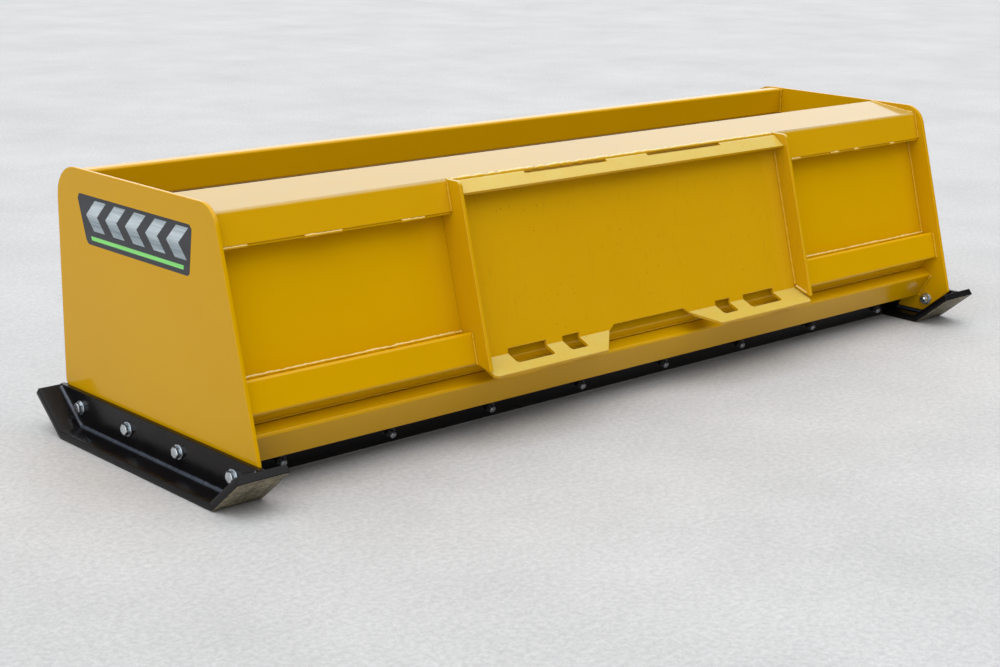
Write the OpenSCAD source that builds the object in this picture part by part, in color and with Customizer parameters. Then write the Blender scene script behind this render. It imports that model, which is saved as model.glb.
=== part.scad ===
// Snow pusher for a skid steer loader, 8 ft wide and 24 in tall, with a pull-back bar.
// +X is the operator's right, +Y the pushing direction, +Z up. The origin is on the ground
// under the middle of the whole attachment.

/* [Overall] */
// Width across the outer faces of the two end plates
body_w = 2438; // [1800:2:3000]
// Height of the top edge of the end plates
body_h = 622; // [600:1:660]
// How far all rear faces lean forward, from vertical
rear_lean = 15.5; // [13:0.5:17]

/* [End plates] */
// Thickness of an end plate
plate_t = 9.5; // [8:0.5:12]
// Front edge of the end plates
plate_front = 395; // [380:1:400]
// Rear edge of the end plates, where it would meet the top edge
plate_rear = -235.5; // [-240:0.5:-232]
// Height of the bottom edge of the end plates
plate_bottom = 28; // [24:1:32]
// Radius of the front top corner
front_r = 75; // [40:1:90]
// Radius of the rear top corner
rear_r = 60; // [30:1:70]

/* [Moldboard and rails] */
// Thickness of the formed plates
sheet_t = 6; // [5:0.5:7]
// Inside radius of a bend in formed plate
bend_r = 3; // [2:0.5:6]
// Front edge of the top deck
deck_front = -63.5; // [-80:0.5:-50]
// Height of the deck's front edge
deck_front_z = 619; // [612:0.5:620]
// Rear edge of the deck
deck_rear = -219.6; // [-221:0.1:-218]
// Height of the deck's rear edge
deck_rear_z = 601; // [598:0.5:603]
// Height of the rear leg of the deck
deck_leg = 73; // [60:1:80]
// Face width of the lower rails
rail_w = 76; // [60:1:80]
// Depth of every rail, from its rear face to the moldboard
rail_d = 38; // [34:1:42]
// Wall of the rail tubes
rail_wall = 5; // [3:0.5:6]
// Distance from the deck to the top of the lower rails, along the rear plane
lower_rail_s = 349; // [335:1:352]
// Face width of the bottom rail
bottom_rail_w = 84; // [76:1:90]
// Forward lean of the moldboard's lower lip, from vertical
lip_lean = 29; // [27:0.5:31]

/* [Pull-back bar] */
// Rear face of the pull-back bar
pull_y = 275; // [240:1:279]
// Height of the pull-back bar's tube
pull_h = 76; // [60:1:90]
// How far the black edge hangs below the tube
pull_drop = 40; // [20:1:60]
// Thickness of the black edge
pull_edge_t = 10; // [8:0.5:12]

/* [Quick attach] */
// Width between the two gussets
attach_w = 1140; // [1130:1:1160]
// Thickness of the gussets
gusset_t = 10; // [8:0.5:13]
// How far the gussets stand behind the rails
gusset_d = 40; // [36:1:44]
// Thickness of the attach plate
attach_t = 8; // [6:0.5:9.5]
// How far the attach face is set in from the rails' rear faces
attach_inset = 6; // [4:0.5:8]
// Length of the hook flange on top
flange_len = 54.5; // [50:0.5:58]
// Slope of the hook flange below horizontal
flange_drop = 34.5; // [32:0.5:36]
// Distance from the deck to the lower bend, along the rear plane
lip_s = 417; // [410:1:418]
// Length of the lower lips
lip_len = 65; // [62:1:70]
// Slope of the lower lips below horizontal
lip_drop = 23; // [21:0.5:26]
// Centre of each large pin slot
slot_x = 416.5; // [410:0.5:420]
// Length of each large pin slot
slot_w = 122; // [100:1:124]
// Centre of each small slot
small_slot_x = 274; // [268:0.5:278]
// Length of each small slot
small_slot_w = 56; // [40:1:60]
// Thickness of the ribs behind the attach plate
rib_t = 10; // [6:0.5:12]

/* [Cutting edge] */
// Distance from each end of the cutting edge to the outer face of the end plate
edge_gap = 61; // [60:1:99]
// Height of the cutting edge, along its own face
edge_h = 150; // [140:1:160]
// Thickness of the cutting edge
edge_t = 16; // [12:0.5:20]
// Rear lower corner of the cutting edge
edge_y = -191.5; // [-194:0.5:-189]
// Distance of the bolt row above the edge's lower corner
edge_bolt_h = 61; // [56:1:66]
// Distance from each end of the cutting edge to its first bolt
edge_end = 97.5; // [60:0.5:110]

/* [Skid shoes] */
// Width of a shoe's sole
sole_w = 127; // [110:1:140]
// Thickness of a shoe's sole
sole_t = 19; // [16:0.5:20]
// Distance of the sole's bends from the middle
sole_bend = 311; // [305:1:316]
// Length of each turned-up end
toe_len = 133; // [120:1:136]
// Slope of each turned-up end
toe_rise = 40; // [35:1:42]
// Thickness of the upright fin
fin_t = 12.7; // [10:0.1:16]
// Height of the fin's top edge
fin_top = 101; // [99:1:104]
// Height of the shoe bolts
shoe_bolt_z = 64; // [60:1:68]
// Spacing of the shoe bolts
shoe_pitch = 206; // [196:1:208]

/* [Fasteners] */
// Thread diameter of every bolt
bolt_d = 16; // [14:1:16]
// Width across the flats of a hexagon
hex_af = 24; // [22:0.5:26]
// Height of a bolt head
head_h = 10; // [8:0.5:12]
// Height of a nut
nut_h = 13; // [10:0.5:14]
// Outside diameter of a washer
washer_d = 34; // [30:0.5:36]
// Thickness of a washer
washer_t = 3; // [2:0.5:4]

/* [Hidden] */
$fn = 48;
enamel = "goldenrod";
black_paint = "#26272b";
zinc = "silver";
// Half the width outside and inside the end plates, and along the cutting edge
outer_x = body_w / 2;
inner_x = outer_x - plate_t;
edge_x = outer_x - edge_gap;
// Spacing of the eight edge bolts
edge_pitch = (2 * edge_x - 2 * edge_end) / 7;
// Where the end plates' lower corners are cut off
cut_y = sole_bend - 12;
// Inner and outer faces of the gussets, and the middle of a fin
gusset_x = attach_w / 2;
gusset_outer_x = gusset_x + gusset_t;
fin_x = outer_x + fin_t / 2;
// Outside corner radius of the rail tubes
tube_r = 7;
// Steps in which a bend or a corner turns
arc_steps = 6;
// Holes and slots run this far past the plate that they pierce
through = 20;
hole_d = bolt_d + 1.5;
// How far the formed plates and gussets would run on above the deck before they are cut
run_on = 30;
// Thickness of the bar under the deck's rear leg, and how far it is set in from that leg
bar_t = 5;
bar_inset = 3;
// Where the bottom rail starts, above the lower corner of the cutting edge
bottom_rail_t = 100.5;
// Height of the pull-back bar's top, and how far its black edge stops below that
pull_top = body_h - 2;
pull_edge_gap = 10;
// Where the moldboard's lip ends, above the lower corner of the cutting edge
lip_end = 25;
// The cut in the attach plate's lower bend, above the bend and along the lip
slot_up = 12;
slot_down = 35;
slot_r = 8;
// Corner radius at the outer end of each lip
lip_r = 14;
// The gap between the two lips, at the top of its notch, at the bend and at the lips' ends
notch_half = 126;
notch_bend_half = 144;
notch_lip_half = 206;
// The slots along the upper bend: from x, to x, and their two edges along the flange
flange_slot = [72, 346, 8, 20];
// How far the hook flange's bend stands above the deck
flange_rise = 3;
// Distance from the deck to the lower end of the gussets, along the rear plane
gusset_s = 447;
// The ribs, from and to along the rear plane, and their distance from the middle
rib_s = [25, 390];
rib_x = 325;
// Height of a domed bolt head
dome_h = 8;
// How far a shoe bolt's thread stands past its nut
thread_out = 6;
decal_t = 0.4;

// Unit vectors for slopes: down the rear plane, square to it towards the rear, up the lower
// lip, and square to the lip towards the rear. All pairs are [y, z].
down_rail = [-sin(rear_lean), -cos(rear_lean)];
out_rail = [-cos(rear_lean), sin(rear_lean)];
up_lip = [-sin(lip_lean), cos(lip_lean)];
out_lip = [-cos(lip_lean), -sin(lip_lean)];
deck_slope = atan2(deck_front_z - deck_rear_z, deck_front - deck_rear);

// Point at s down the rear plane and d behind it
function rail_point(s, d) = [deck_rear, deck_rear_z] + s * down_rail + d * out_rail;
// Point at t up the cutting edge's rear face and e behind it
function lip_point(t, e) = [edge_y, 0] + t * up_lip + e * out_lip;
function unit(v) = v / norm(v);
function left_of(v) = [-v[1], v[0]];
function cross2(a, b) = a[0] * b[1] - a[1] * b[0];
function turn(a, b) = atan2(cross2(a, b), a * b);
function spin(v, a) = [v[0] * cos(a) - v[1] * sin(a), v[0] * sin(a) + v[1] * cos(a)];
// Where the line through p along u meets the line through q along v
function meet(p, u, q, v) = p + u * cross2(q - p, v) / cross2(u, v);

// Arc that rounds corner b of the path a-b-c; side is the offset of a second, parallel arc
function corner_arc(a, b, c, r, side) =
    let (u = unit(b - a), v = unit(c - b), bend = turn(u, v), way = sign(bend),
        centre = b - u * r * tan(abs(bend) / 2) + way * r * left_of(u))
    [for (i = [0:arc_steps]) centre + (r - way * side) * spin(-way * left_of(u), bend * i / arc_steps)];
// Closed outline with each corner rounded by its own radius
function rounded(points, radii) = let (n = len(points)) [for (i = [0:n - 1])
    each radii[i] == 0 ? [points[i]]
        : corner_arc(points[(i + n - 1) % n], points[i], points[(i + 1) % n], radii[i], 0)];
// One face of a bent plate, at a distance to the left of the path, with inside radius r
function plate_face(path, t, r, side) = let (last = len(path) - 1) concat(
    [path[0] + side * left_of(unit(path[1] - path[0]))],
    [for (i = [1:1:last - 1]) let (bend = turn(path[i] - path[i - 1], path[i + 1] - path[i]))
        each corner_arc(path[i - 1], path[i], path[i + 1], bend > 0 ? r + t : r, side)],
    [path[last] + side * left_of(unit(path[last] - path[last - 1]))]);
function reversed(list) = [for (i = [len(list) - 1:-1:0]) list[i]];
// Section of a bent plate that lies to the left of the path
function bent_plate(path, t, r) = concat(plate_face(path, t, r, 0), reversed(plate_face(path, t, r, t)));

// Extrudes a [y, z] section from x0 to x1
module across(x0, x1) translate([x0, 0, 0]) rotate([90, 0, 90]) linear_extrude(x1 - x0) children();

// Draws children for side -1 (left) or 1 (right), mirrored from the right
module on_side(side) mirror([side < 0 ? 1 : 0, 0, 0]) children();

// Local frame on a sloping face: x across, y along the slope, z square to the face, outwards
module on_slope(origin, slope) translate([0, origin[0], origin[1]]) rotate([slope, 0, 0]) children();

// Rounded tube section whose first corner is at the origin
module tube_section(w, d) difference() {
    round_rect(0, w, d, tube_r);
    round_rect(rail_wall, w, d, tube_r - rail_wall + 1);
}
module round_rect(inset, w, d, r) {
    translate([inset + r, inset]) square([w - 2 * (inset + r), d - 2 * inset]);
    translate([inset, inset + r]) square([w - 2 * inset, d - 2 * (inset + r)]);
    for (x = [inset + r, w - inset - r], y = [inset + r, d - inset - r])
        translate([x, y]) circle(r);
}

module end_plate(side) color(enamel) {
    // The lower corners are cut off above the shoe's turned-up ends
    cut = [cos(toe_rise), sin(toe_rise)];
    low_front = meet([cut_y, plate_bottom], cut, [plate_front, 0], [0, 1]);
    low_rear = meet([-cut_y, plate_bottom], [-cut[0], cut[1]], [plate_rear, body_h], down_rail);
    outline = rounded([[cut_y, plate_bottom], low_front, [plate_front, body_h],
        [plate_rear, body_h], low_rear, [-cut_y, plate_bottom]], [0, 6, front_r, rear_r, 6, 0]);
    on_side(side) difference() {
        across(inner_x, outer_x) polygon(outline);
        shoe_bolt_places() cylinder(d = hole_d, h = 2 * through, center = true);
    }
}
module left_end_plate() end_plate(-1);
module right_end_plate() end_plate(1);

// Formed plate: the leaning panel and, below its bend, the lip that carries the cutting edge
module moldboard() color(enamel) {
    foot = lip_point(lip_end, sheet_t);
    bend = meet(rail_point(0, -rail_d), down_rail, foot, up_lip);
    difference() {
        across(-inner_x, inner_x) difference() {
            polygon(bent_plate([rail_point(-run_on, -rail_d), bend, foot], sheet_t, bend_r));
            above_deck();
        }
        edge_bolt_places() cylinder(d = hole_d, h = 3 * through, center = true);
    }
}
// Everything above the underside of the deck
module above_deck() translate([deck_rear, deck_rear_z]) rotate(deck_slope)
    translate([-50, -sheet_t]) square([300, 100]);

// Formed plate: the deck and, outside the gussets, its rear leg
module top_deck() color(enamel) difference() {
    across(-inner_x, inner_x) polygon(bent_plate([[deck_front, deck_front_z],
        [deck_rear, deck_rear_z], rail_point(deck_leg, 0)], sheet_t, bend_r));
    across(-gusset_outer_x, gusset_outer_x) behind_deck();
}
// Rear edge of the deck between the gussets, just behind the round of the attach plate's bend
function deck_cut() = rail_point(0, -attach_inset)[0];
module behind_deck() translate([deck_cut() - 400, 400]) square([400, 300]);

// Bar that closes the bottom of the deck's rear leg
module top_rail_bar(side) color(enamel) on_side(side) across(gusset_outer_x, inner_x)
    polygon([rail_point(deck_leg, -bar_inset), rail_point(deck_leg, -rail_d),
        rail_point(deck_leg + bar_t, -rail_d), rail_point(deck_leg + bar_t, -bar_inset)]);
module left_top_rail_bar() top_rail_bar(-1);
module right_top_rail_bar() top_rail_bar(1);

// Tube between a gusset and an end plate
module lower_rail(side) color(enamel) on_side(side) across(gusset_outer_x, inner_x)
    translate(rail_point(lower_rail_s, -rail_d)) rotate(-90 - rear_lean) mirror([0, 1])
        tube_section(rail_w, rail_d);
module left_lower_rail() lower_rail(-1);
module right_lower_rail() lower_rail(1);

// Tube along the back of the lip, behind the cutting edge
module bottom_rail() color(enamel) across(-inner_x, inner_x)
    translate(lip_point(bottom_rail_t, sheet_t)) rotate(90 + lip_lean)
        tube_section(bottom_rail_w, rail_d);

// Tube across the open top near the front
module pull_back_bar() color(enamel) across(-inner_x, inner_x)
    translate([pull_y, pull_top - pull_h]) mirror([1, -1]) tube_section(pull_h, rail_d);
// Black bar on the front of the tube, hanging below it
module pull_back_edge() color(black_paint) across(-inner_x + 3, inner_x - 3)
    translate([pull_y + rail_d, pull_top - pull_h - pull_drop])
        square([pull_edge_t, pull_h - pull_edge_gap + pull_drop]);

// One bent plate: hook flange, face and two lower lips, with the slots for the locking pins
module attach_plate() color(enamel) {
    flange_dir = [-cos(flange_drop), -sin(flange_drop)];
    lip_dir = [-cos(lip_drop), -sin(lip_drop)];
    // The path runs along the plate's front face, so that the plate lies behind it
    top_bend = meet(flange_start(), flange_dir,
        rail_point(0, -attach_inset - attach_t), down_rail);
    low_bend = meet(rail_point(lip_s, -attach_inset) + attach_t * [sin(lip_drop), -cos(lip_drop)],
        lip_dir, rail_point(0, -attach_inset - attach_t), down_rail);
    flange_end = flange_start() + flange_len * flange_dir;
    lip_end_point = rail_point(lip_s, -attach_inset) + lip_len * lip_dir
        + attach_t * [sin(lip_drop), -cos(lip_drop)];
    difference() {
        across(-gusset_x, gusset_x)
            polygon(bent_plate([lip_end_point, low_bend, top_bend, flange_end], attach_t, bend_r));
        for (side = [-1, 1]) on_side(side) {
            pin_slot(slot_x, slot_w);
            pin_slot(small_slot_x, small_slot_w);
            on_slope(flange_start(), flange_drop) translate([flange_slot[0],
                -flange_slot[3], -through / 2])
                cube([flange_slot[1] - flange_slot[0], flange_slot[3] - flange_slot[2], through]);
            lip_corner();
        }
        notch();
    }
}
function flange_start() = [deck_cut(), deck_rear_z + flange_rise];
// Cuts on the face, with y measured up from the lower bend, and on the lip, with y outwards
module on_face() on_slope(rail_point(lip_s, -attach_inset), 90 - rear_lean) children();
module on_lip() on_slope(rail_point(lip_s, -attach_inset), lip_drop) mirror([0, 1, 0]) children();
module pin_slot(x, w) {
    on_face() translate([x - w / 2, -slot_down / 2, -through])
        cube([w, slot_down / 2 + slot_up, 1.5 * through]);
    on_lip() translate([0, 0, -through]) linear_extrude(2 * through)
        polygon(rounded([[x - w / 2, -slot_r], [x + w / 2, -slot_r], [x + w / 2, slot_down],
            [x - w / 2, slot_down]], [0, 0, slot_r, slot_r]));
}
module notch() {
    on_face() translate([0, 0, -through]) linear_extrude(2 * through) polygon(rounded(
        [[-notch_half, slot_up], [-notch_bend_half - slot_up, -slot_up],
        [notch_bend_half + slot_up, -slot_up], [notch_half, slot_up]], [4, 0, 0, 4]));
    on_lip() translate([0, 0, -through]) linear_extrude(2 * through) polygon(
        [[-notch_bend_half, 0], [-notch_lip_half - 30, lip_len + 30],
        [notch_lip_half + 30, lip_len + 30], [notch_bend_half, 0]]);
}
// Rounds the outer end of a lip
module lip_corner() on_lip() translate([gusset_x - lip_r, lip_len - lip_r, -through])
    linear_extrude(2 * through) difference() {
        square(2 * lip_r);
        circle(lip_r);
    }

// Upright plate at each end of the quick attach, from the moldboard to behind the rails
module gusset(side) color(enamel) {
    top_rear = meet(rail_point(0, gusset_d), down_rail, [0, deck_rear_z + 1], [1, 0]);
    outline = rounded([rail_point(-run_on, -rail_d), [deck_rear, deck_rear_z + 1], top_rear,
        rail_point(gusset_s, gusset_d), rail_point(lower_rail_s + rail_w, 0),
        rail_point(lower_rail_s + rail_w, -rail_d)], [0, 0, 12, 3, 0, 0]);
    on_side(side) across(gusset_x, gusset_outer_x) difference() {
        polygon(outline);
        difference() {
            above_deck();
            behind_deck();
        }
    }
}
module left_gusset() gusset(-1);
module right_gusset() gusset(1);

// Upright bar between the moldboard and the attach plate
module rib(side) color(enamel) on_side(side) across(rib_x - rib_t / 2, rib_x + rib_t / 2)
    polygon([rail_point(rib_s[0], -rail_d), rail_point(rib_s[0], -attach_inset - attach_t),
        rail_point(rib_s[1], -attach_inset - attach_t), rail_point(rib_s[1], -rail_d)]);
module left_rib() rib(-1);
module right_rib() rib(1);

// Flat bar bolted to the front of the lip, with square holes for the bolts' necks
module cutting_edge() color(black_paint) difference() {
    across(-edge_x, edge_x) polygon([lip_point(0, 0), lip_point(edge_h, 0),
        lip_point(edge_h, -edge_t), lip_point(6, -edge_t)]);
    edge_bolt_places() translate([0, 0, -edge_t / 2])
        cube([bolt_d + 0.5, bolt_d + 0.5, edge_t + 2], center = true);
}
// The eight bolts, with z out of the rear of the cutting edge
module edge_bolt_places() for (i = [-3.5:3.5]) translate([i * edge_pitch, 0, 0])
    on_slope(lip_point(edge_bolt_h, 0), 90 + lip_lean) children();
// Domed bolt with a square neck
module edge_bolts() color(zinc) edge_bolt_places() {
    translate([0, 0, -edge_t]) mirror([0, 0, 1]) rotate_extrude() polygon(concat([[0, 0]],
        [for (a = [0:15:90]) [washer_d / 2 * cos(a), dome_h * sin(a)]]));
    translate([0, 0, -edge_t / 2]) cube([bolt_d, bolt_d, edge_t], center = true);
    cylinder(d = bolt_d, h = 33);
}
module edge_washers() color(zinc) edge_bolt_places() translate([0, 0, sheet_t]) washer();
module edge_nuts() color(zinc) edge_bolt_places() translate([0, 0, sheet_t + washer_t]) hexagon(nut_h);

module washer() difference() {
    cylinder(d = washer_d, h = washer_t);
    translate([0, 0, -1]) cylinder(d = bolt_d, h = washer_t + 2);
}
// Nut, bored for the bolt
module hexagon(h) difference() {
    cylinder(d = hex_af / cos(30), h = h, $fn = 6);
    translate([0, 0, -1]) cylinder(d = bolt_d, h = h + 2);
}

// Underside of a shoe from one turned-up end to the other
function sole_path() = let (toe = toe_len * [cos(toe_rise), sin(toe_rise)])
    [[-sole_bend - toe[0], toe[1]], [-sole_bend, 0], [sole_bend, 0], [sole_bend + toe[0], toe[1]]];
// Sole plate with both ends turned up
module shoe_sole(side) color(black_paint) on_side(side)
    across(fin_x - sole_w / 2, fin_x + sole_w / 2)
        polygon(bent_plate(sole_path(), sole_t, bend_r));
module left_shoe_sole() shoe_sole(-1);
module right_shoe_sole() shoe_sole(1);

// Upright fin that stands on the sole and bolts to the end plate
module shoe_fin(side) color(black_paint) {
    on_sole = plate_face(sole_path(), sole_t, bend_r, sole_t);
    tip = on_sole[len(on_sole) - 1];
    on_side(side) difference() {
        across(outer_x, outer_x + fin_t)
            polygon(concat(on_sole, [[tip[0], fin_top], [-tip[0], fin_top]]));
        shoe_bolt_places() cylinder(d = hole_d, h = 3 * through, center = true);
    }
}
module left_shoe_fin() shoe_fin(-1);
module right_shoe_fin() shoe_fin(1);

// The four bolts of the right shoe, with z outwards from the end plate's outer face
module shoe_bolt_places() for (i = [-1.5:1.5])
    translate([outer_x, i * shoe_pitch, shoe_bolt_z]) rotate([0, 90, 0]) children();
module shoe_bolts(side) color(zinc) on_side(side) shoe_bolt_places() {
    translate([0, 0, fin_t + washer_t]) cylinder(d = hex_af / cos(30), h = head_h, $fn = 6);
    translate([0, 0, -plate_t - washer_t - nut_h - thread_out])
        cylinder(d = bolt_d, h = thread_out + nut_h + 2 * washer_t + plate_t + fin_t);
}
module left_shoe_bolts() shoe_bolts(-1);
module right_shoe_bolts() shoe_bolts(1);
module shoe_washers(side) color(zinc) on_side(side) shoe_bolt_places() {
    translate([0, 0, fin_t]) washer();
    translate([0, 0, -plate_t - washer_t]) washer();
}
module left_shoe_washers() shoe_washers(-1);
module right_shoe_washers() shoe_washers(1);
module shoe_nuts(side) color(zinc) on_side(side) shoe_bolt_places()
    translate([0, 0, -plate_t - washer_t - nut_h]) hexagon(nut_h);
module left_shoe_nuts() shoe_nuts(-1);
module right_shoe_nuts() shoe_nuts(1);

// Plain sticker on the outside of the left end plate
module side_decal() color("#3a3c40") across(-outer_x - decal_t, -outer_x)
    polygon(rounded([[-155, 460], [290, 460], [290, 568], [-155, 568]], [14, 14, 14, 14]));

left_end_plate();
right_end_plate();
moldboard();
top_deck();
left_top_rail_bar();
right_top_rail_bar();
left_lower_rail();
right_lower_rail();
bottom_rail();
pull_back_bar();
pull_back_edge();
attach_plate();
left_gusset();
right_gusset();
left_rib();
right_rib();
cutting_edge();
edge_bolts();
edge_washers();
edge_nuts();
left_shoe_sole();
right_shoe_sole();
left_shoe_fin();
right_shoe_fin();
left_shoe_bolts();
right_shoe_bolts();
left_shoe_washers();
right_shoe_washers();
left_shoe_nuts();
right_shoe_nuts();
side_decal();
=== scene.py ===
import math

import bmesh
import bpy
from mathutils import Euler, Matrix, Vector


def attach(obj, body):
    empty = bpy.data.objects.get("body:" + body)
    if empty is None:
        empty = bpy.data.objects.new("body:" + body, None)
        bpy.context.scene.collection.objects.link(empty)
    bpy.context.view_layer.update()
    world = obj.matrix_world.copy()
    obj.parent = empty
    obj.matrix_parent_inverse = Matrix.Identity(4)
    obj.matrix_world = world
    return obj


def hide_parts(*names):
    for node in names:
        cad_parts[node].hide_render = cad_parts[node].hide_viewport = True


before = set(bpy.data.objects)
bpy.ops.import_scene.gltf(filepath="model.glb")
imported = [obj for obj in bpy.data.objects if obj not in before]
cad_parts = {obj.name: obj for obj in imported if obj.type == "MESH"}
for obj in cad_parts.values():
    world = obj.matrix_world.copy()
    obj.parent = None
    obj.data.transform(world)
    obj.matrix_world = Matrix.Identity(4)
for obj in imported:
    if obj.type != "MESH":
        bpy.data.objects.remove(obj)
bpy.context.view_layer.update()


# ---- Moldboard --------------------------------------------------------------------------------------
# One 6 mm steel sheet with one fold: the leaning panel and, below the fold, the lip that carries the
# cutting edge. It is cut and press-braked, welded into the box, and sprayed with it in one go.

def linear(hex_code):
    """The linear colour of an sRGB code such as #d2a107, with full alpha."""
    parts = [int(hex_code[i:i + 2], 16) / 255 for i in (1, 3, 5)]
    return [c / 12.92 if c <= 0.04045 else ((c + 0.055) / 1.055) ** 2.4 for c in parts] + [1]


def add(tree, kind, inputs=None, **settings):
    """Adds a node with its settings, and sets or links its inputs, each by name or number."""
    node = tree.nodes.new(kind)
    for name, value in settings.items():
        setattr(node, name, value)
    for name, value in (inputs or {}).items():
        if isinstance(value, bpy.types.NodeSocket):
            tree.links.new(value, node.inputs[name])
        else:
            node.inputs[name].default_value = value
    return node


def calc(tree, operation, *values, **settings):
    """What one operation makes of up to three numbers or sockets."""
    return add(tree, "ShaderNodeMath", dict(enumerate(values)), operation=operation, **settings).outputs[0]


def ramp(tree, value, start, end, low=0.0, high=1.0, **settings):
    """A value stretched so that start becomes low and end becomes high, and held there beyond them."""
    return add(tree, "ShaderNodeMapRange", {0: value, 1: start, 2: end, 3: low, 4: high},
               **settings).outputs[0]


def noise(tree, place, scale, detail, rough=0.5):
    """Cloudy noise between 0 and 1, with about so many lumps to a metre."""
    return add(tree, "ShaderNodeTexNoise", {"Vector": place, "Scale": scale, "Detail": detail,
                                            "Roughness": rough}).outputs[0]


def blend(tree, amount, first, second, **settings):
    """A colour between two others, each a socket or an sRGB code."""
    first, second = (linear(c) if isinstance(c, str) else c for c in (first, second))
    return add(tree, "ShaderNodeMix", {0: amount, 6: first, 7: second}, data_type="RGBA",
               **settings).outputs[2]


def bumps(tree, *layers):
    """The normal of a face under layers of bumps, each its height, its strength and its depth."""
    normal = {}
    for height, strength, depth in layers:
        layer = add(tree, "ShaderNodeBump", {"Height": height, "Strength": strength, "Distance": depth,
                                             **normal})
        normal = {"Normal": layer.outputs[0]}
    return layer.outputs[0]


def upward(tree, vector):
    """The Z part of a vector."""
    return add(tree, "ShaderNodeSeparateXYZ", {0: vector}).outputs["Z"]


def bare_finish(name):
    """A material without nodes yet, its tree, and the place on the object that its patterns follow."""
    finish = bpy.data.materials.new(name)
    finish.use_nodes = True
    finish.node_tree.nodes.clear()
    return finish, finish.node_tree, add(finish.node_tree, "ShaderNodeTexCoord").outputs["Object"]


def coated(finish, inputs):
    """Ends a material with its one surface shader."""
    shader = add(finish.node_tree, "ShaderNodeBsdfPrincipled", inputs)
    add(finish.node_tree, "ShaderNodeOutputMaterial", {0: shader.outputs[0]})
    return finish


def gloss_enamel(name, paling=0.0, fade_and_sheen_colour="#9c9064", level_from=0.18, worked=False, black_to=0.0, ior=1.29):
    """Alkyd machine enamel, sprayed wet over primed steel, in golden yellow. It dries to a deep gloss
    with a fine orange peel; the sheet under it is never quite flat. What faces the sky is shifted to the
    fade_and_sheen colour: partly fading, partly a painted sheen that stands for the sky's light on it.
    Worked enamel shows specks of rust and thin dark runs. Up to the height black_to, whatever looks
    down is coloured black."""
    finish, tree, place = bare_finish(name)
    facing_up = upward(tree, add(tree, "ShaderNodeNewGeometry").outputs["Normal"])
    # The spray gun's passes leave broad, faint clouds, about half a metre across
    colour = blend(tree, noise(tree, place, 2.2, 3.0), "#c39200", "#cc9b02")
    # Fading and painted sheen: more on level faces, and uneven in patches of 60 mm
    patches = noise(tree, place, 16.0, 6.0, 0.65)
    level_fade_and_sheen = ramp(tree, facing_up, level_from, 0.95, 0.0, paling, interpolation_type="SMOOTHSTEP")
    uneven = calc(tree, "MULTIPLY_ADD", patches, 0.8, 0.6)
    colour = blend(tree, calc(tree, "MULTIPLY", level_fade_and_sheen, uneven), colour, fade_and_sheen_colour)
    if worked:
        # Rust pinholes: 1 to 2 mm spots in cells of 17 mm, kept only inside a few patches
        cells = add(tree, "ShaderNodeTexVoronoi", {"Vector": place, "Scale": 60.0}).outputs["Distance"]
        spot = ramp(tree, cells, 0.11, 0.05, 0.0, 0.8)
        kept = ramp(tree, noise(tree, place, 5.0, 4.0), 0.52, 0.62)
        colour = blend(tree, calc(tree, "MULTIPLY", spot, kept), colour, "#4d2f12")
        # Thin dirty runs, some 10 mm wide and a few hundred long, down whatever stands
        streak = add(tree, "ShaderNodeMapping", {"Vector": place, "Scale": (90.0, 90.0, 1.6)}).outputs[0]
        run = ramp(tree, noise(tree, streak, 1.0, 2.0), 0.62, 0.80, 0.0, 0.12)
        colour = blend(tree, run, colour, "#6b4406")
    if black_to:
        # Faces that look down, up to the height black_to, are coloured black
        low = ramp(tree, upward(tree, place), black_to, black_to - 0.004)
        below = ramp(tree, facing_up, -0.1, -0.3)
        colour = blend(tree, calc(tree, "MULTIPLY", low, below), colour, "#080708")
    # Orange peel is drawn at 5 mm so that it shows, and the sheet's own waves at 250 mm
    peel, waves = noise(tree, place, 200.0, 2.0), noise(tree, place, 4.0, 1.0)
    return coated(finish, {
        "Base Color": colour, "Roughness": ramp(tree, patches, 0.3, 0.7, 0.09, 0.17), "IOR": ior,
        "Normal": bumps(tree, (peel, 0.06, 0.001), (waves, 0.25, 0.002))})


def placed(name, data):
    """An object with the given mesh or camera, in the scene."""
    piece = bpy.data.objects.new(name, data)
    bpy.context.scene.collection.objects.link(piece)
    return piece


def ease_edges(piece, width):
    """Rounds every sawn, sheared or burnt edge, as grinding and paint do."""
    rounds = piece.modifiers.new("eased edges", "BEVEL")
    rounds.width, rounds.segments, rounds.limit_method = width, 2, "ANGLE"
    rounds.angle_limit, rounds.loop_slide, rounds.use_clamp_overlap = math.radians(28), False, False


def settle(piece, finish, slot, *nodes):
    """Turns a piece's modifiers into plain mesh, and gives it its finish and its place in the frame."""
    graph = bpy.context.evaluated_depsgraph_get()
    mesh = bpy.data.meshes.new_from_object(piece.evaluated_get(graph), depsgraph=graph)
    piece.modifiers.clear()
    piece.data = mesh
    mesh.materials.clear()
    mesh.materials.append(finish)
    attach(piece, "root")
    if nodes:
        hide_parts(*nodes)
    return piece


def painted(node, finish, slot="yellow_enamel", ease=0.0009):
    """A cut piece of steel as it leaves the paint shop. The CAD's triangles are first joined into whole
    flat faces, so that only true edges are eased."""
    shell = bmesh.new()
    shell.from_mesh(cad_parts[node].data)
    bmesh.ops.remove_doubles(shell, verts=shell.verts, dist=2e-5)
    bmesh.ops.dissolve_limit(shell, angle_limit=math.radians(0.4), verts=shell.verts, edges=shell.edges)
    shell.verts.index_update()
    mesh = bpy.data.meshes.new("painted_" + node)
    mesh.from_pydata([v.co for v in shell.verts], [], [[v.index for v in f.verts] for f in shell.faces])
    shell.free()
    mesh.shade_smooth()
    piece = placed("painted_" + node, mesh)
    ease_edges(piece, ease)
    piece.modifiers.new("flat faces", "WEIGHTED_NORMAL").keep_sharp = True
    return settle(piece, finish, slot, node)


body_enamel = gloss_enamel("yellow gloss enamel")
painted("moldboard", gloss_enamel("yellow gloss enamel, lip black where it looks down", black_to=0.090))


# ---- Rails ------------------------------------------------------------------------------------------
# Rectangular steel tube, 38 mm deep with a 5 mm wall: one length along the bottom, behind the cutting
# edge, and a lower rail on each side of the quick attach. They stiffen the sheet, and are welded to it.

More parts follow.
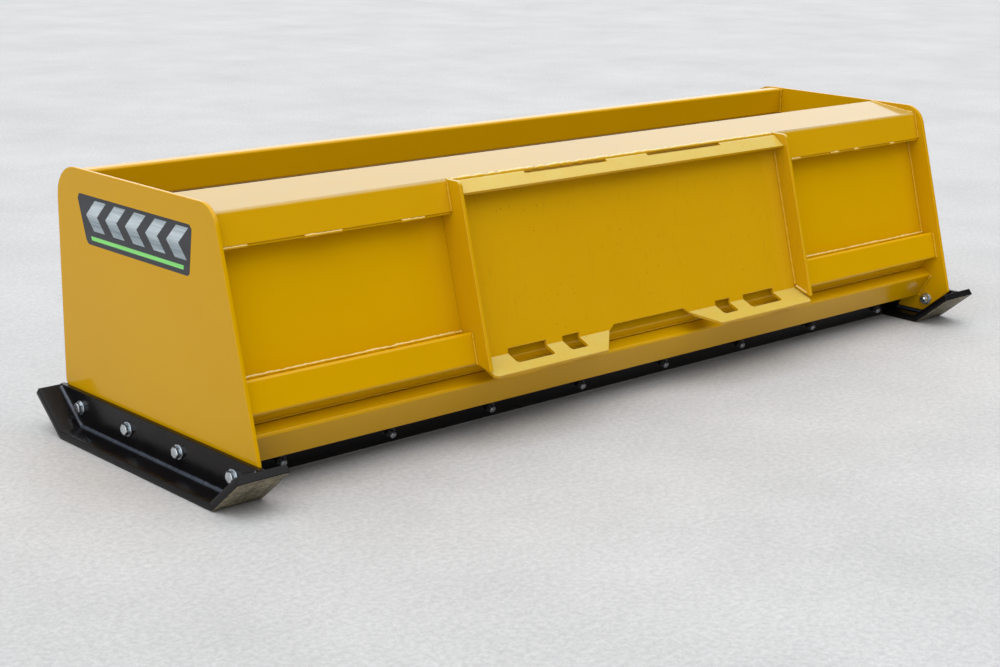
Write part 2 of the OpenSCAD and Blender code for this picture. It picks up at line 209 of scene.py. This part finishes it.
for rail in ("bottom_rail", "left_lower_rail", "right_lower_rail"):
    painted(rail, body_enamel, ease=0.0006)


# ---- Top deck ---------------------------------------------------------------------------------------
# A folded 6 mm sheet that closes the top of the box and turns down behind it as the top rail. A flat bar
# on each side closes the turned-down leg against the moldboard. It faces the sky, so it has weathered most;
# its level faces are also painted a paler tan that stands for the sky's sheen on them.

painted("top_deck", gloss_enamel("yellow gloss enamel, weathered deck with painted sheen", paling=0.55, ior=1.40))
for bar in ("left_top_rail_bar", "right_top_rail_bar"):
    painted(bar, body_enamel, ease=0.0006)


# ---- End plates -------------------------------------------------------------------------------------
# 9.5 mm plate, plasma cut with round top corners, and its lower corners cut off above the shoes. One
# closes each end of the box, and the rails, the deck and the pull-back bar end against it.

for plate in ("left_end_plate", "right_end_plate"):
    painted(plate, body_enamel, ease=0.0014)


# ---- Pull-back bar ----------------------------------------------------------------------------------
# A steel tube across the open top, to drag snow away from a wall, with a black flat bar on its front
# that hangs below it and does the scraping.

def black_enamel(name, shade="#09080a", tone="#131112", worn=0.0, ior=1.26):
    """Black gloss enamel over hot-rolled steel. It is thin, so it shows the steel's own grain, picks up
    pale dust, and is rubbed down to grey mill scale and brown dirt on what drags over the ground."""
    finish, tree, place = bare_finish(name)
    facing_up = upward(tree, add(tree, "ShaderNodeNewGeometry").outputs["Normal"])
    patches = noise(tree, place, 14.0, 7.0, 0.6)
    # The underside: scale and dirt where the face looks down, patchy along its upper border
    under = ramp(tree, facing_up, -0.30, -0.62, 0.0, worn)
    rubbed = calc(tree, "MULTIPLY_ADD", patches, 2.6, -0.55, use_clamp=True)
    bare = calc(tree, "MULTIPLY", under, rubbed)
    soil = blend(tree, ramp(tree, noise(tree, place, 70.0, 7.0, 0.8), 0.35, 0.65), "#3c372c", "#a39a80")
    gloss = ramp(tree, patches, 0.3, 0.7, 0.14, 0.28)
    # Peel and mill grain of 5 mm over dents of 30 mm
    peel, dents = noise(tree, place, 220.0, 4.0, 0.6), noise(tree, place, 30.0, 3.0)
    return coated(finish, {
        "Base Color": blend(tree, bare, blend(tree, patches, shade, tone), soil),
        "Roughness": calc(tree, "MULTIPLY_ADD", bare, 0.5, gloss), "IOR": ior,
        "Normal": bumps(tree, (peel, 0.14, 0.001), (dents, 0.25, 0.002))})


painted("pull_back_bar", body_enamel, ease=0.0006)
painted("pull_back_edge", black_enamel("black gloss enamel"), "black_paint", ease=0.0012)


# ---- Quick attach -----------------------------------------------------------------------------------
# An 8 mm plate bent at both ends. The loader's own plate hooks up under the flange and is locked by two
# pins through the slots in the lips. Two gussets close its ends, and two ribs stand behind it. The
# loader knocks these about, so they carry rust specks and runs.

# The flange and lips' upward faces are painted a paler lemon: a painted sheen from the sky, with some
# fading
worked_enamel = gloss_enamel("yellow gloss enamel, worked by the loader", paling=0.66, fade_and_sheen_colour="#bfb15e",
                             worked=True, ior=1.42)
painted("attach_plate", worked_enamel, ease=0.0010)
for plate in ("left_gusset", "right_gusset"):
    painted(plate, worked_enamel, ease=0.0016)
for plate in ("left_rib", "right_rib"):
    painted(plate, body_enamel, ease=0.0008)


# ---- Weld beads -------------------------------------------------------------------------------------
# Wire-fed fillet welds, laid by hand before painting and sprayed over. The bead sits in the corner of
# two plates, ripples every few millimetres where the puddle froze, swells and thins along its length.

# Painted highlight: the beads' upward tops are shifted to cream, standing for the sky's gleam on them, with
# some dust
weld_enamel = gloss_enamel("yellow gloss enamel over rough weld", paling=0.85, fade_and_sheen_colour="#dccc92",
                           level_from=0.5, ior=1.4)

# How far the back and the lip lean, and where the slope of each begins
LEAN, LIP_LEAN = math.radians(15.5), math.radians(29)
DECK_EDGE_Y, DECK_EDGE_Z, LIP_FOOT_Y = -0.2196, 0.601, -0.1915
# Across, from the middle: the gussets' two faces and the end plates' inner face
GUSSET_IN, GUSSET_OUT, PLATE_IN = 0.570, 0.580, 1.2095
# How far the middle of a bead stands off the faces that it joins, and the radii of the beads
OFF = 0.0015
LIP_BEAD, GUSSET_BEAD, STITCH, BEAD, RAIL_BEAD = 0.0028, 0.0034, 0.0036, 0.0042, 0.0046
SHOE_BEAD, DECK_BEAD = 0.0062, 0.0066


def on_back(x, down, out):
    """A point across the back at x, down its slope from the deck's rear edge, and out behind it."""
    return Vector((x, DECK_EDGE_Y - math.sin(LEAN) * down - math.cos(LEAN) * out,
                   DECK_EDGE_Z - math.cos(LEAN) * down + math.sin(LEAN) * out))


def on_lip(x, up, out):
    """A point across the lip at x, up the rear face of the cutting edge, and out behind it."""
    return Vector((x, LIP_FOOT_Y - math.sin(LIP_LEAN) * up - math.cos(LIP_LEAN) * out,
                   math.cos(LIP_LEAN) * up - math.sin(LIP_LEAN) * out))


def new_tree(name, sockets):
    """An empty Geometry Nodes tree with a geometry in and out and the named inputs."""
    tree = bpy.data.node_groups.new(name, "GeometryNodeTree")
    tree.interface.new_socket("Geometry", in_out="INPUT", socket_type="NodeSocketGeometry")
    for label, kind in sockets.items():
        tree.interface.new_socket(label, in_out="INPUT", socket_type="NodeSocket" + kind)
    tree.interface.new_socket("Geometry", in_out="OUTPUT", socket_type="NodeSocketGeometry")
    return tree, add(tree, "NodeGroupInput").outputs


def end_tree(tree, shape, finish):
    """Ends a Geometry Nodes tree: instances are made real, and the finish is put on."""
    shape = add(tree, "GeometryNodeRealizeInstances", {0: shape})
    shape = add(tree, "GeometryNodeSetMaterial", {"Geometry": shape.outputs[0], "Material": finish})
    add(tree, "NodeGroupOutput", {0: shape.outputs[0]})


def grown(name, tree, values, start=None):
    """An object with the mesh that a Geometry Nodes tree makes from start and the named values."""
    piece = placed(name, start or bpy.data.meshes.new(name))
    modifier = piece.modifiers.new(name, "NODES")
    modifier.node_group = tree
    for socket in tree.interface.items_tree:
        if socket.in_out == "INPUT" and socket.name in values:
            modifier[socket.identifier] = values[socket.name]
    return piece


def mesh_of(name, shell):
    """The mesh of a shell that was drawn face by face."""
    mesh = bpy.data.meshes.new(name)
    shell.to_mesh(mesh)
    shell.free()
    return mesh


def wander(tree, seed, scale, detail):
    """Noise about zero along a bead, another for each seed."""
    cloud = add(tree, "ShaderNodeTexNoise", {"W": seed, "Scale": scale, "Detail": detail},
                noise_dimensions="4D")
    return calc(tree, "SUBTRACT", cloud.outputs[0], 0.5)


bead_tree, given = new_tree("weld bead", {"Step": "Float", "Ripple pitch": "Float", "Ripple": "Float",
                                          "Lumps": "Float", "Seed": "Float", "Finish": "Material"})
walk = add(bead_tree, "GeometryNodeMeshToCurve", {0: given["Geometry"]})
walk = add(bead_tree, "GeometryNodeResampleCurve", {"Curve": walk.outputs[0], "Length": given["Step"]},
           mode="LENGTH")
# The girth falls off over each ripple, swells in lumps, and is scaled by the seam's own radius
along = add(bead_tree, "GeometryNodeSplineParameter").outputs["Length"]
saw = calc(bead_tree, "FRACT", calc(bead_tree, "DIVIDE", along, given["Ripple pitch"]))
swell = calc(bead_tree, "MULTIPLY_ADD", wander(bead_tree, given["Seed"], 55.0, 2.0), given["Lumps"], 1.0)
girth = calc(bead_tree, "SUBTRACT", swell, calc(bead_tree, "MULTIPLY", saw, given["Ripple"]))
size = add(bead_tree, "GeometryNodeInputNamedAttribute", {"Name": "bead"}, data_type="FLOAT")
girth = calc(bead_tree, "MULTIPLY", girth, size.outputs[0])
ring = add(bead_tree, "GeometryNodeCurvePrimitiveCircle", {"Resolution": 8, "Radius": 1.0})
bead = add(bead_tree, "GeometryNodeCurveToMesh", {
    "Curve": walk.outputs[0], "Profile Curve": ring.outputs[0], "Scale": girth, "Fill Caps": True})
# Pits and drops of 4 mm break up the outline, by 1 mm at most
pits = calc(bead_tree, "MULTIPLY", wander(bead_tree, given["Seed"], 240.0, 1.0), 0.0022)
push = add(bead_tree, "ShaderNodeVectorMath", {
    0: add(bead_tree, "GeometryNodeInputNormal").outputs[0], 3: pits}, operation="SCALE")
bead = add(bead_tree, "GeometryNodeSetPosition", {"Geometry": bead.outputs[0], "Offset": push.outputs[0]})
bead = add(bead_tree, "GeometryNodeSetShadeSmooth", {0: bead.outputs[0]})
end_tree(bead_tree, bead.outputs[0], given["Finish"])


def welded(name, seams, finish, slot, seed, ripple=0.20, lumps=1.4):
    """Beads along the given seams, each a list of corner points and the bead's radius."""
    walks = bmesh.new()
    layer = walks.verts.layers.float.new("bead")
    for corners, radius in seams:
        verts = [walks.verts.new(point) for point in corners]
        for vert in verts:
            vert[layer] = radius
        for a, b in zip(verts, verts[1:]):
            walks.edges.new((a, b))
    piece = grown(name, bead_tree, {"Step": 0.0016, "Ripple pitch": 0.0064, "Ripple": ripple,
                                    "Lumps": lumps, "Seed": seed, "Finish": finish}, mesh_of(name, walks))
    return settle(piece, finish, slot)


seams, front_seams = [], []
for side in (-1, 1):
    gusset_in, gusset_out = side * (GUSSET_IN - OFF), side * (GUSSET_OUT + OFF)
    plate = side * (PLATE_IN - OFF)
    # The lower rail's top edge along the panel, all the way
    seams.append(([on_back(side * 0.582, 0.3465, -0.0355), on_back(side * 1.208, 0.3465, -0.0355)],
                  RAIL_BEAD))
    # Upright welds: gusset to rails, rails to end plate, panel to end plate, gusset to attach plate
    for top, bottom in ((0.004, 0.072), (0.352, 0.424)):
        seams.append(([on_back(gusset_out, top, 0.0012), on_back(gusset_out, bottom, 0.0012)], GUSSET_BEAD))
        seams.append(([on_back(plate, top, OFF), on_back(plate, bottom, OFF)], BEAD))
    seams.append(([on_back(plate, 0.080, -0.0365), on_back(plate, 0.345, -0.0365)], BEAD))
    seams.append(([on_back(gusset_in, 0.022, -0.0045), on_back(gusset_in, 0.408, -0.0045)], BEAD))
    # The end of the lip, the end of the bottom rail, the end of the deck, and the bar's end
    seams.append(([on_back(side * 0.569, 0.414, -0.003), on_back(side * 0.569, 0.437, 0.030)], BEAD))
    seams.append(([on_lip(plate, 0.106, 0.0455), on_lip(plate, 0.179, 0.0455)], BEAD))
    seams.append(([Vector((plate, -0.068, 0.6175)), Vector((plate, -0.212, 0.6010))], STITCH))
    seams.append(([Vector((plate, 0.2735, 0.548)), Vector((plate, 0.2735, 0.618))], BEAD))
    seams.append(([Vector((plate, 0.279, 0.5425)), Vector((plate, 0.309, 0.5425))], BEAD))
    # Inside the box, the moldboard against the end plate
    front_seams.append(([on_back(plate, 0.008, -0.0455), on_back(plate, 0.420, -0.0455)], BEAD))
# Stitches under the top rails, where they start and end across the back
for start, end in ((-1.207, -1.137), (-0.992, -0.893), (-0.727, -0.661), (0.628, 0.668), (0.800, 0.836),
                   (0.905, 0.930), (1.070, 1.092)):
    seams.append(([on_back(start, 0.0765, -OFF), on_back(end, 0.0765, -OFF)], STITCH))
# The deck's cut edge against the attach plate
seams.append(([Vector((-0.568, -0.2135, 0.5970)), Vector((0.568, -0.2135, 0.5970))], DECK_BEAD))
# The bottom rail's upper corner against the lip, in plain enamel without the painted highlight
lip_seam = ([on_lip(-1.208, 0.1860, 0.0065), on_lip(1.208, 0.1860, 0.0065)], LIP_BEAD)

welded("rear_weld_beads", seams, weld_enamel, "yellow_enamel", seed=1.0)
welded("bottom_rail_bead", [lip_seam], body_enamel, "yellow_enamel", seed=2.0)
welded("front_weld_beads", front_seams, weld_enamel, "yellow_enamel", seed=3.0)


# ---- Cutting edge -----------------------------------------------------------------------------------
# A 16 mm flat bar of hard steel, painted black and bolted to the front of the lip with eight domed bolts.
# Their square necks are hidden in the bar, and a washer and a nut hold each from behind. The bolts are
# coloured black behind the lip, and the domes and the points of the threads are bare zinc.

painted("cutting_edge", black_enamel("black enamel, cutting edge", worn=0.06), "black_paint", ease=0.0010)

# The row of edge bolts: how far up the lip, where the first stands, and from one to the next
BOLT_UP, FIRST_BOLT_X, BOLT_STEP = 0.061, -1.0605, 0.303
# Bolts of 16 mm with a pitch of 2 mm, hexagons of 24 mm, and washers of 34 mm
CREST, ROOT, POINT, SHANK, HALF_PITCH = 0.0080, 0.0070, 0.0066, 0.0079, 0.001
FLATS, PAST_CORNER, NUT_HIGH, HEAD_HIGH = 0.024, 0.0139, 0.013, 0.010
WASHER_RIM, WASHER_BORE, WASHER_THICK = 0.017, 0.0092, 0.003


def zinc_plate(name, axis=None, lip=0.0):
    """Bright zinc on a steel fastener, blue-passivated: a cool, soft metal gleam with a cloudy bloom.
    With the axis of a bolt and how far along it the lip stands, it is zinc coloured black
    behind the lip, bare in front of it and from 30 mm behind it."""
    finish, tree, place = bare_finish(name)
    bloom = noise(tree, place, 130.0, 4.0)
    if axis:
        depth = add(tree, "ShaderNodeVectorMath", {0: place, 1: axis},
                    operation="DOT_PRODUCT").outputs["Value"]
        metal = calc(tree, "ADD", ramp(tree, depth, lip + 0.028, lip + 0.032),
                     ramp(tree, depth, lip + 0.002, lip - 0.002))
        colour = blend(tree, metal, "#0b0a0b", "#a9adb2")
    else:
        metal, colour = 1.0, blend(tree, bloom, "#aeb8c0", "#e4ebef")
    return coated(finish, {
        "Base Color": colour, "Metallic": metal, "Roughness": ramp(tree, bloom, 0.3, 0.7, 0.20, 0.38),
        "Normal": bumps(tree, (bloom, 0.2, 0.0005))})


def turned(shell, rings, hollow=False, sides=36):
    """Adds a turned solid to a shell. A ring is its height, its radius and, where a hexagon trims it,
    the width across flats. A hollow one joins its last ring to its first, as a washer does."""
    rows = []
    for height, radius, flats in rings:
        row = []
        for k in range(sides):
            a = 2 * math.pi * k / sides
            off_flat = (a + math.pi / 6) % (math.pi / 3) - math.pi / 6
            r = min(radius, flats / 2 / math.cos(off_flat)) if flats else radius
            row.append(shell.verts.new((r * math.cos(a), r * math.sin(a), height)))
        rows.append(row)
    pairs = list(zip(rows, rows[1:])) + ([(rows[-1], rows[0])] if hollow else [])
    for low, high in pairs:
        for k in range(sides):
            n = (k + 1) % sides
            shell.faces.new((low[k], low[n], high[n], high[k]))
    if not hollow:
        shell.faces.new(rows[0][::-1])
        shell.faces.new(rows[-1])


def washer_rings(z):
    """A flat washer, stamped, so that its rim is rounded."""
    top = z + WASHER_THICK
    return [(z, WASHER_RIM - 0.0005, 0), (z + 0.0006, WASHER_RIM, 0), (top - 0.0006, WASHER_RIM, 0),
            (top, WASHER_RIM - 0.0007, 0), (top, WASHER_BORE, 0), (z, WASHER_BORE, 0)]


def hexagon_rings(z, high):
    """A hexagon with both ends chamfered, as on a nut or a bolt's head."""
    return [(z, 0.0114, FLATS), (z + 0.0009, PAST_CORNER, FLATS), (z + high - 0.0012, PAST_CORNER, FLATS),
            (z + high, 0.0112, FLATS)]


def thread_rings(start, end):
    """A thread drawn as a ring at every crest and root, and a chamfered point."""
    count = round((end - start - HALF_PITCH) / HALF_PITCH)
    rows = [(start + HALF_PITCH * i, CREST if i % 2 else ROOT, 0) for i in range(count + 1)]
    return rows + [(end, POINT, 0)]


def fastener(name, solids):
    """A pattern piece made of turned solids; each is its rings and whether it is hollow."""
    shell = bmesh.new()
    for rings, hollow in solids:
        turned(shell, rings, hollow)
    return placed(name, mesh_of(name, shell))


row_tree, given = new_tree("row of fasteners", {"Pattern": "Object", "Count": "Int", "First": "Vector",
                                                "Step": "Vector", "Turn": "Rotation", "Seed": "Int",
                                                "Finish": "Material"})
line = add(row_tree, "GeometryNodeMeshLine", {"Count": given["Count"], "Start Location": given["First"],
                                              "Offset": given["Step"]}, mode="OFFSET")
pattern = add(row_tree, "GeometryNodeObjectInfo", {"Object": given["Pattern"]})
# Each was run up with a wrench and stopped at its own angle
stopped = add(row_tree, "FunctionNodeRandomValue", {2: 0.0, 3: 2 * math.pi, "Seed": given["Seed"]},
              data_type="FLOAT")
spin = add(row_tree, "ShaderNodeCombineXYZ", {2: stopped.outputs[1]})
spin = add(row_tree, "FunctionNodeEulerToRotation", {0: spin.outputs[0]})
turn = add(row_tree, "FunctionNodeRotateRotation", {0: given["Turn"], 1: spin.outputs[0]},
           rotation_space="LOCAL")
row = add(row_tree, "GeometryNodeInstanceOnPoints", {
    "Points": line.outputs[0], "Instance": pattern.outputs["Geometry"], "Rotation": turn.outputs[0]})
end_tree(row_tree, row.outputs[0], given["Finish"])


def fastened(name, pattern, finish, count, first, step, turn, seed, *nodes):
    """A row of one fastener, as one piece, in place of the CAD's plain ones."""
    piece = grown(name, row_tree, {"Pattern": pattern, "Count": count, "First": first, "Step": step,
                                   "Turn": Euler(turn), "Seed": seed, "Finish": finish})
    piece = settle(piece, finish, "zinc", *nodes)
    piece.data.set_sharp_from_angle(angle=math.radians(32))
    return piece


# Heights on the edge bolt's own axis count from the rear face of the bar
dome = [(-0.016 - 0.008 * math.sin(a), 0.017 * math.cos(a), 0)
        for a in (math.radians(d) for d in (86, 75, 60, 45, 30, 15, 0))]
edge_bolt = fastener("edge_bolt", [
    (dome + [(-0.0158, 0.0085, 0), (0.020, SHANK, 0)], False), (thread_rings(0.0205, 0.033), False),
    (washer_rings(0.006), True), (hexagon_rings(0.009, NUT_HIGH), False)])
backward = (0, -math.cos(LIP_LEAN), -math.sin(LIP_LEAN))
zinc_black_behind_lip = zinc_plate("zinc plate, black behind the lip but for the thread's point", backward,
                          on_lip(0, BOLT_UP, 0).dot(Vector(backward)))
fastened("edge_bolt_row", edge_bolt, zinc_black_behind_lip, 8, on_lip(FIRST_BOLT_X, BOLT_UP, 0), (BOLT_STEP, 0, 0),
         (math.radians(90) + LIP_LEAN, 0, 0), 4, "edge_bolts", "edge_washers", "edge_nuts")
bpy.data.objects.remove(edge_bolt)


# ---- Skid shoes -------------------------------------------------------------------------------------
# The pusher's runners: a 19 mm sole with both ends turned up, and an upright fin welded along its middle
# and bolted to the end plate. Painted gloss black; the underside is rubbed to scale and dirt.

# The sole's section and the length of its level half, the radius and the angle of its bends, the length
# of a toe, and how far across its middle lies
SOLE_THICK, SOLE_WIDE, SOLE_FLAT = 0.019, 0.127, 0.303
SOLE_BEND, SOLE_RISE, SOLE_TOE, SOLE_X = 0.0125, math.radians(40), 0.125, 1.22535
# The fin's inner face, the first bolt along it, from one to the next, and how high they stand
FIN_X, SHOE_BOLT_Y, SHOE_BOLT_STEP, SHOE_BOLT_Z = 1.219, -0.309, 0.206, 0.064

shoe_black = black_enamel("black gloss enamel, rubbed below", worn=1.0)
# Painted highlight: the weld's black is drawn bluish grey for the sky's gleam along the bead, with some
# dust
weld_black = black_enamel("black gloss enamel over rough weld, with painted highlight", "#23272e", "#434a55", ior=1.5)
zinc = zinc_plate("bright zinc plate")
# Heights on the shoe bolt's own axis count from the fin's inner face
shoe_bolt = fastener("shoe_bolt", [
    ([(0.0127, SHANK, 0), (0.0157, SHANK, 0)], False), (hexagon_rings(0.0157, HEAD_HIGH), False),
    (washer_rings(0.0127), True), (washer_rings(-0.0125), True), (hexagon_rings(-0.0255, NUT_HIGH), False),
    ([(-z, radius, flats) for z, radius, flats in thread_rings(0.0225, 0.0315)[::-1]], False)])

# The sole: a flat bar, bent up at both ends round the same radius. Its middle line runs level, follows
# the bend's arc, and then climbs straight to the tip, and the bar's section is swept along it.
bar_tree, given = new_tree("bent flat bar", {
    "Half": "Float", "Flat": "Float", "Bend": "Float", "Rise": "Float", "Width": "Float",
    "Thickness": "Float", "Middle": "Vector", "Finish": "Material"})
flat, radius, rise = given["Flat"], given["Bend"], given["Rise"]
tip = add(bar_tree, "ShaderNodeCombineXYZ", {1: given["Half"]}).outputs[0]
tail = add(bar_tree, "ShaderNodeVectorMath", {0: tip, 3: -1.0}, operation="SCALE").outputs[0]
line = add(bar_tree, "GeometryNodeCurvePrimitiveLine", {"Start": tail, "End": tip})
line = add(bar_tree, "GeometryNodeResampleCurve", {"Curve": line.outputs[0], "Length": 0.003},
           mode="LENGTH")
# Where a point of the straight bar lies, how far past the level part, round the bend and up the toe
along = add(bar_tree, "ShaderNodeSeparateXYZ", {0: add(bar_tree, "GeometryNodeInputPosition").outputs[0]})
far = calc(bar_tree, "ABSOLUTE", along.outputs["Y"])
past = calc(bar_tree, "SUBTRACT", far, flat)
angle = add(bar_tree, "ShaderNodeClamp", {0: calc(bar_tree, "DIVIDE", past, radius), 1: 0.0,
                                          2: rise}).outputs[0]
climb = calc(bar_tree, "SUBTRACT", past, calc(bar_tree, "MULTIPLY", radius, rise))
climb = calc(bar_tree, "MAXIMUM", climb, 0.0)
# Out along the ground and up from it, once the bar is bent
out = calc(bar_tree, "MULTIPLY_ADD", climb, calc(bar_tree, "COSINE", rise),
           calc(bar_tree, "MINIMUM", far, flat))
out = calc(bar_tree, "MULTIPLY_ADD", calc(bar_tree, "SINE", angle), radius, out)
out = calc(bar_tree, "MULTIPLY", out, calc(bar_tree, "SIGN", along.outputs["Y"]))
up = calc(bar_tree, "SUBTRACT", 1.0, calc(bar_tree, "COSINE", angle))
up = calc(bar_tree, "MULTIPLY_ADD", up, radius,
          calc(bar_tree, "MULTIPLY", climb, calc(bar_tree, "SINE", rise)))
spot = add(bar_tree, "ShaderNodeCombineXYZ", {1: out, 2: up})
spot = add(bar_tree, "ShaderNodeVectorMath", {0: spot.outputs[0], 1: given["Middle"]}, operation="ADD")
line = add(bar_tree, "GeometryNodeSetPosition", {"Geometry": line.outputs[0], "Position": spot.outputs[0]})
line = add(bar_tree, "GeometryNodeSetCurveNormal", {"Curve": line.outputs[0], "Normal": (1.0, 0.0, 0.0)},
           mode="FREE")
section = add(bar_tree, "GeometryNodeCurvePrimitiveQuadrilateral", {
    "Width": given["Width"], "Height": given["Thickness"]})
bar = add(bar_tree, "GeometryNodeCurveToMesh", {
    "Curve": line.outputs[0], "Profile Curve": section.outputs[0], "Fill Caps": True})
end_tree(bar_tree, bar.outputs[0], given["Finish"])

# The fin's two welds: along the sole's top and up both toes, by their Y and Z
corner = SOLE_FLAT + 0.008 - SOLE_THICK * math.tan(SOLE_RISE / 2)
rise_y, rise_z = 0.118 * math.cos(SOLE_RISE), 0.118 * math.sin(SOLE_RISE)
weld_line = [(-corner - rise_y, SOLE_THICK + rise_z), (-corner, SOLE_THICK), (corner, SOLE_THICK),
             (corner + rise_y, SOLE_THICK + rise_z)]

for side, word in ((-1, "left"), (1, "right")):
    sole = grown(word + "_shoe_sole_bar", bar_tree, {
        "Half": SOLE_FLAT + SOLE_BEND * SOLE_RISE + SOLE_TOE, "Flat": SOLE_FLAT, "Bend": SOLE_BEND,
        "Rise": SOLE_RISE, "Width": SOLE_WIDE, "Thickness": SOLE_THICK,
        "Middle": Vector((side * SOLE_X, 0, SOLE_THICK / 2)), "Finish": shoe_black})
    ease_edges(sole, 0.0016)
    settle(sole, shoe_black, "black_paint", word + "_shoe_sole")
    painted(word + "_shoe_fin", shoe_black, "black_paint", ease=0.0012)
    fastened(word + "_shoe_bolt_row", shoe_bolt, zinc, 4, (side * FIN_X, SHOE_BOLT_Y, SHOE_BOLT_Z),
             (0, SHOE_BOLT_STEP, 0), (0, side * math.radians(90), 0), 7 + side,
             word + "_shoe_bolts", word + "_shoe_washers", word + "_shoe_nuts")
    seams = [([Vector((side * (FIN_X + face), y, z)) for y, z in weld_line], SHOE_BEAD)
             for face in (-0.001, 0.0137)]
    welded(word + "_shoe_weld_beads", seams, weld_black, "black_paint", seed=5.0 + side, ripple=0.10,
           lumps=0.7)
bpy.data.objects.remove(shoe_bolt)


# ---- Side decal -------------------------------------------------------------------------------------
# A printed vinyl sticker on the left end plate: a dark slanted field with silver arrows that point in
# the pushing direction and a thin green line below them.

def vinyl(name, shade, tone, rough):
    """Cast vinyl film: flat colour under a clear satin top coat, with a faint unevenness from rolling on.
    The silver print fades from light to dark and has fine brushed lines along the sticker."""
    finish, tree, place = bare_finish(name)
    brushed = add(tree, "ShaderNodeMapping", {"Vector": place, "Scale": (40.0, 12.0, 420.0)}).outputs[0]
    lines = noise(tree, brushed, 1.0, 3.0)
    paling = calc(tree, "SINE", calc(tree, "MULTIPLY_ADD", upward(tree, place), 95.0, 0.9))
    mixed = calc(tree, "MULTIPLY_ADD", paling, 0.3, lines, use_clamp=True)
    return coated(finish, {
        "Base Color": blend(tree, mixed, shade, tone),
        "Roughness": ramp(tree, lines, 0.0, 1.0, rough, rough + 0.12), "IOR": 1.48})


def film(name, outlines, x, thickness, finish, *nodes):
    """Thin film cut to outlines in Y and Z, on a face that looks to the left at x."""
    shell = bmesh.new()
    for outline in outlines:
        back = [shell.verts.new((x, y, z)) for y, z in outline]
        front = [shell.verts.new((x - thickness, y, z)) for y, z in outline]
        shell.faces.new(back)
        shell.faces.new(front[::-1])
        for k in range(len(outline)):
            n = (k + 1) % len(outline)
            shell.faces.new((back[n], back[k], front[k], front[n]))
    bmesh.ops.recalc_face_normals(shell, faces=shell.faces)
    return settle(placed(name, mesh_of(name, shell)), finish, "decal", *nodes)


# The plate's outer face, the thickness of the sticker and of the print on it, and the arrows' spacing
PLATE_OUT, STICKER, PRINT, ARROW_STEP = -1.2190, 0.0004, 0.0001, 0.082
field = [(0.296, 0.567), (-0.150, 0.567), (-0.158, 0.558), (-0.146, 0.462), (-0.138, 0.456), (0.262, 0.456),
         (0.272, 0.466), (0.303, 0.556)]
arrows = [[(y, 0.522), (y - 0.040, 0.559), (y - 0.086, 0.559), (y - 0.046, 0.522), (y - 0.078, 0.489),
           (y - 0.032, 0.489)] for y in (0.268 - ARROW_STEP * k for k in range(5))]
rule = [(0.250, 0.476), (-0.125, 0.476), (-0.124, 0.467), (0.247, 0.467)]
film("decal_field", [field], PLATE_OUT, STICKER, vinyl("dark vinyl film", "#242529", "#303237", 0.35),
     "side_decal")
film("decal_arrows", arrows, PLATE_OUT - STICKER, PRINT,
     vinyl("silver vinyl film", "#66757d", "#cbd6da", 0.25))
film("decal_line", [rule], PLATE_OUT - STICKER, PRINT,
     vinyl("green vinyl film", "#4fae3d", "#8be27a", 0.35))


# ---- Ground -----------------------------------------------------------------------------------------
# Pale concrete, trowelled and weathered: broad faint stains, sand grain, and a dry, even surface. It is
# poured far enough out on all sides that its end lies beyond what is seen.

concrete, tree, place = bare_finish("weathered concrete")
stains, grain = noise(tree, place, 1.5, 9.0, 0.68), noise(tree, place, 75.0, 6.0, 0.85)
base = blend(tree, ramp(tree, stains, 0.3, 0.7), "#afafae", "#bdbdbc")
sand = ramp(tree, grain, 0.40, 0.60, 0.84, 1.05)
coated(concrete, {"Base Color": blend(tree, 1.0, base, sand, blend_type="MULTIPLY"), "Roughness": 0.85,
                  "Normal": bumps(tree, (grain, 0.3, 0.001))})

REACH = 80
ground = bpy.data.meshes.new("ground")
ground.from_pydata([(-REACH, -REACH, 0), (REACH, -REACH, 0), (REACH, REACH, 0), (-REACH, REACH, 0)], [],
                   [(0, 1, 2, 3)])
ground.materials.append(concrete)
floor = placed("ground", ground)


# ---- Light ------------------------------------------------------------------------------------------
# An even studio sky, no lamp: a broad glow overhead and fainter ones around it. The one beyond the pusher
# gives what faces up its pale sheen; low behind the camera it stays dark, so the back keeps its yellow.

sky = bpy.data.worlds.new("soft sky")
bpy.context.scene.world = sky
sky.use_nodes = True
tree = sky.node_tree
tree.nodes.clear()
way = add(tree, "ShaderNodeTexCoord").outputs["Generated"]
glow = 0.0
# Each glow: its middle, the cosine at its rim, and how bright it is in the middle
for middle, rim, bright in (((0.0, 0.0, 1.0), 0.60, 1.65), ((0.64, 0.66, 0.39), 0.60, 1.50),
                            ((0.33, -0.38, 0.86), 0.76, 1.60), ((-0.85, -0.15, 0.50), 0.30, 1.20),
                            ((-0.42, -0.50, 0.76), 0.45, 0.60)):
    near = add(tree, "ShaderNodeVectorMath", {0: way, 1: middle}, operation="DOT_PRODUCT").outputs["Value"]
    patch = ramp(tree, near, rim, 1.0, 0.0, bright, interpolation_type="SMOOTHSTEP")
    glow = calc(tree, "ADD", patch, glow)
light = add(tree, "ShaderNodeBackground", {"Color": linear("#fbfcff"), "Strength": glow})
add(tree, "ShaderNodeOutputWorld", {0: light.outputs[0]})


# ---- Camera -----------------------------------------------------------------------------------------
# Standing behind the pusher's left end at head height, with a short telephoto lens. It is held level but
# for a slight roll, and looks down a little.

EYE = (-3.23087, -3.29167, 1.33022)
view = placed("camera", bpy.data.cameras.new("camera"))
view.data.sensor_width, view.data.lens, view.data.clip_end = 36.0, 65.47, 300.0
heading, dip, roll = math.radians(42.573), math.radians(15.003), math.radians(0.932)
ahead = Vector((math.sin(heading) * math.cos(dip), math.cos(heading) * math.cos(dip), -math.sin(dip)))
across = Vector((math.cos(heading), -math.sin(heading), 0))
upright = across.cross(ahead)
across, upright = (math.cos(roll) * across + math.sin(roll) * upright,
                   math.cos(roll) * upright - math.sin(roll) * across)
view.matrix_world = Matrix.Translation(EYE) @ Matrix((across, upright, -ahead)).transposed().to_4x4()
bpy.context.scene.camera = view
bpy.context.scene.view_settings.view_transform = "Standard"
